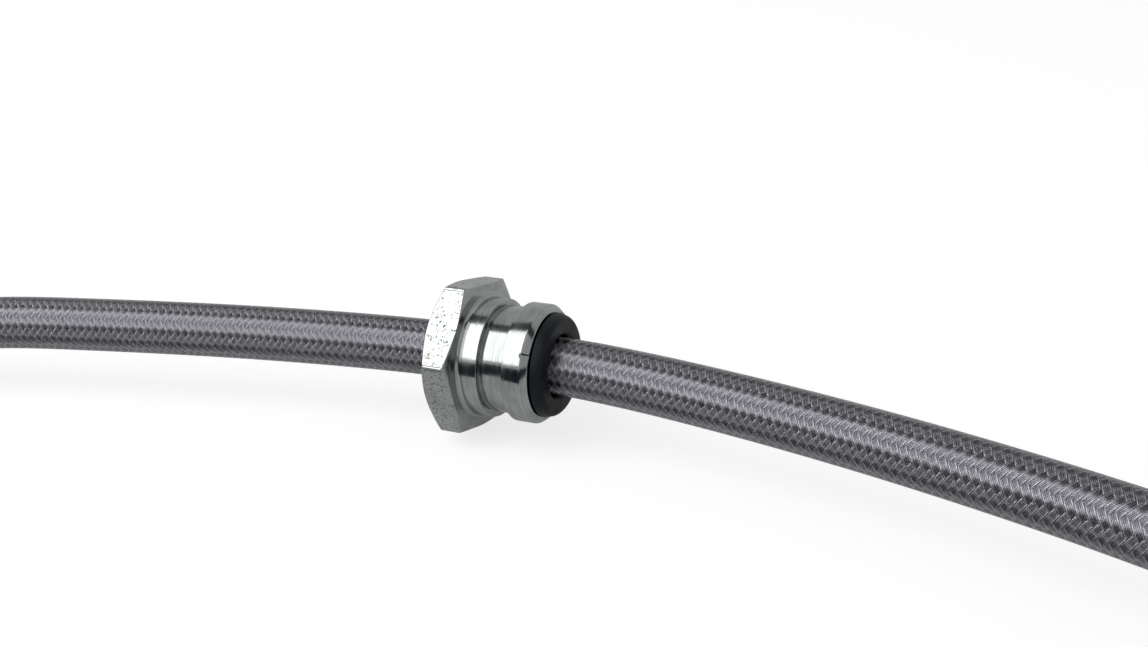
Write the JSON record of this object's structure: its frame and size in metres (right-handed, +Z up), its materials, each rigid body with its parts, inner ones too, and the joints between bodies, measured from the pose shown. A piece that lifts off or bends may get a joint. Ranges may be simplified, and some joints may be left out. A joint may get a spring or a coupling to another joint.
{
  "type": "brake hose",
  "caption": "Braided brake hose with clear jacket, hexagonal centre collar with rubber bush, and crimped union and banjo ends.",
  "frame": {"origin": "middle of the footprint of the collar and the end fittings, on the surface that the hose lies on", "axes": "+X along the centre collar's axis, from its hexagonal flange to its barrel; +Z up; the hose bends towards -Y on both sides"},
  "size_m": [0.364, 0.0854, 0.0208],
  "materials": {
    "zinc_plated_steel": "bright zinc plate, turned and polished, pitted on the hexagon",
    "bush_rubber": "smooth black moulded rubber",
    "clear_jacket": "clear extruded plastic",
    "stainless_wire": "woven bright stainless wire",
    "inner_tube_plastic": "smooth black conductive fluoropolymer"
  },
  "bodies": {
    "root": {"center_collar": "zinc_plated_steel", "rubber_bush": "bush_rubber", "hose_jacket": "clear_jacket", "wire_braid": "stainless_wire", "inner_tube": "inner_tube_plastic", "union_ferrule": "zinc_plated_steel", "union_fitting": "zinc_plated_steel", "banjo_ferrule": "zinc_plated_steel", "banjo_fitting": "zinc_plated_steel"}
  },
  "joints": []
}
